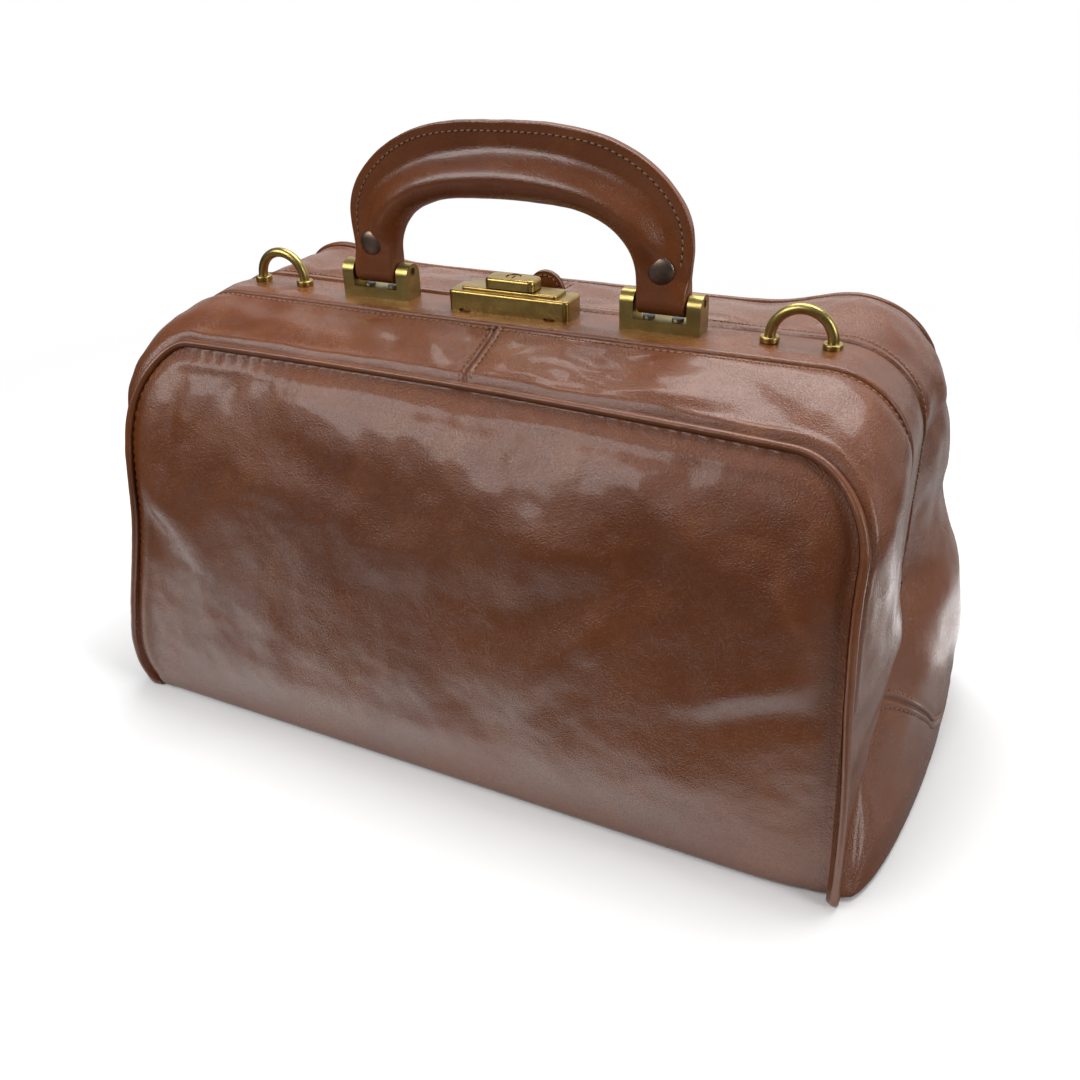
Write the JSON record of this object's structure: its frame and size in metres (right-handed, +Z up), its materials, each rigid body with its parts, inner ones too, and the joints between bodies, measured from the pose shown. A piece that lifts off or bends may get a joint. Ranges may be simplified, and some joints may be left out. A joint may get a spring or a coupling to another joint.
{
  "type": "doctor bag",
  "caption": "Leather doctor bag with a hinged steel frame mouth, sprung lock, folding grip handle, strap loops and a soft piped body.",
  "frame": {"origin": "on the ground under the middle of the bag, in the plane of the handle", "axes": "+X along the length to the bag's left-hand end as worn, right in the front view; front faces -Y; +Z up"},
  "size_m": [0.424, 0.2012, 0.3024],
  "materials": {
    "body_leather": "glossy, waxed, finely creased",
    "piping_leather": "glossy",
    "handle_leather": "glossy, slightly darker",
    "padding": "matt felt cord",
    "lining_cloth": "matt cotton twill",
    "board": "matt fibre board",
    "steel": "satin",
    "antique_brass": "antique, brushed",
    "dark_bronze": "dark patina"
  },
  "bodies": {
    "root": {"front_panel": "body_leather", "rear_panel": "body_leather", "bottom_panel": "body_leather", "base_board": "board", "bottom_lining": "lining_cloth", "front_piping": "piping_leather", "rear_piping": "piping_leather", "left_front_band": "body_leather", "right_front_band": "body_leather", "left_rear_band": "body_leather", "right_rear_band": "body_leather", "left_end_panel": "body_leather", "right_end_panel": "body_leather", "left_end_lining": "lining_cloth", "right_end_lining": "lining_cloth", "front_lining": "lining_cloth", "rear_lining": "lining_cloth", "left_hinge_plate": "steel", "right_hinge_plate": "steel", "left_hinge_pin": "steel", "right_hinge_pin": "steel", "hinge_rivets": "steel"},
    "front_frame": {"front_frame_bar": "steel", "front_frame_cover": "body_leather", "front_frame_facing": "body_leather", "lock_case": "antique_brass", "lock_top_plate": "antique_brass", "lock_screws": "steel", "lock_spring": "steel", "left_handle_bracket": "antique_brass", "right_handle_bracket": "antique_brass", "bracket_screws": "steel", "left_handle_pin": "antique_brass", "right_handle_pin": "antique_brass", "left_strap_loop": "antique_brass", "right_strap_loop": "antique_brass", "loop_collars": "antique_brass"},
    "rear_frame": {"rear_frame_bar": "steel", "rear_frame_cover": "body_leather", "rear_frame_facing": "body_leather", "catch_tongue": "steel", "catch_rivets": "steel", "pull_tab": "body_leather"},
    "handle": {"handle_cover": "handle_leather", "handle_core": "padding", "left_handle_tang": "steel", "right_handle_tang": "steel", "left_handle_rivet": "dark_bronze", "right_handle_rivet": "dark_bronze"},
    "lock_button": {"lock_button": "antique_brass", "latch_bolt": "steel"}
  },
  "joints": [
    {"name": "front_frame_hinge", "type": "hinge", "parent": "root", "child": "front_frame", "pos_m": [0, 0.012, 0.092], "axis": [1, 0, 0], "range_deg": [0, 30], "deforming": ["front_panel", "front_piping", "left_front_band", "right_front_band", "front_lining"]},
    {"name": "rear_frame_hinge", "type": "hinge", "parent": "root", "child": "rear_frame", "pos_m": [0, 0.012, 0.092], "axis": [-1, 0, 0], "range_deg": [0, 30], "deforming": ["rear_panel", "rear_piping", "left_rear_band", "right_rear_band", "rear_lining"]},
    {"name": "handle_hinge", "type": "hinge", "parent": "front_frame", "child": "handle", "pos_m": [0, 0, 0.2278], "axis": [1, 0, 0], "range_deg": [-88, 88]},
    {"name": "lock_button_slide", "type": "slide", "parent": "front_frame", "child": "lock_button", "axis": [1, 0, 0], "range_m": [0, 0.007], "stiffness_N_per_m": 250, "deforming": ["lock_spring"]}
  ]
}
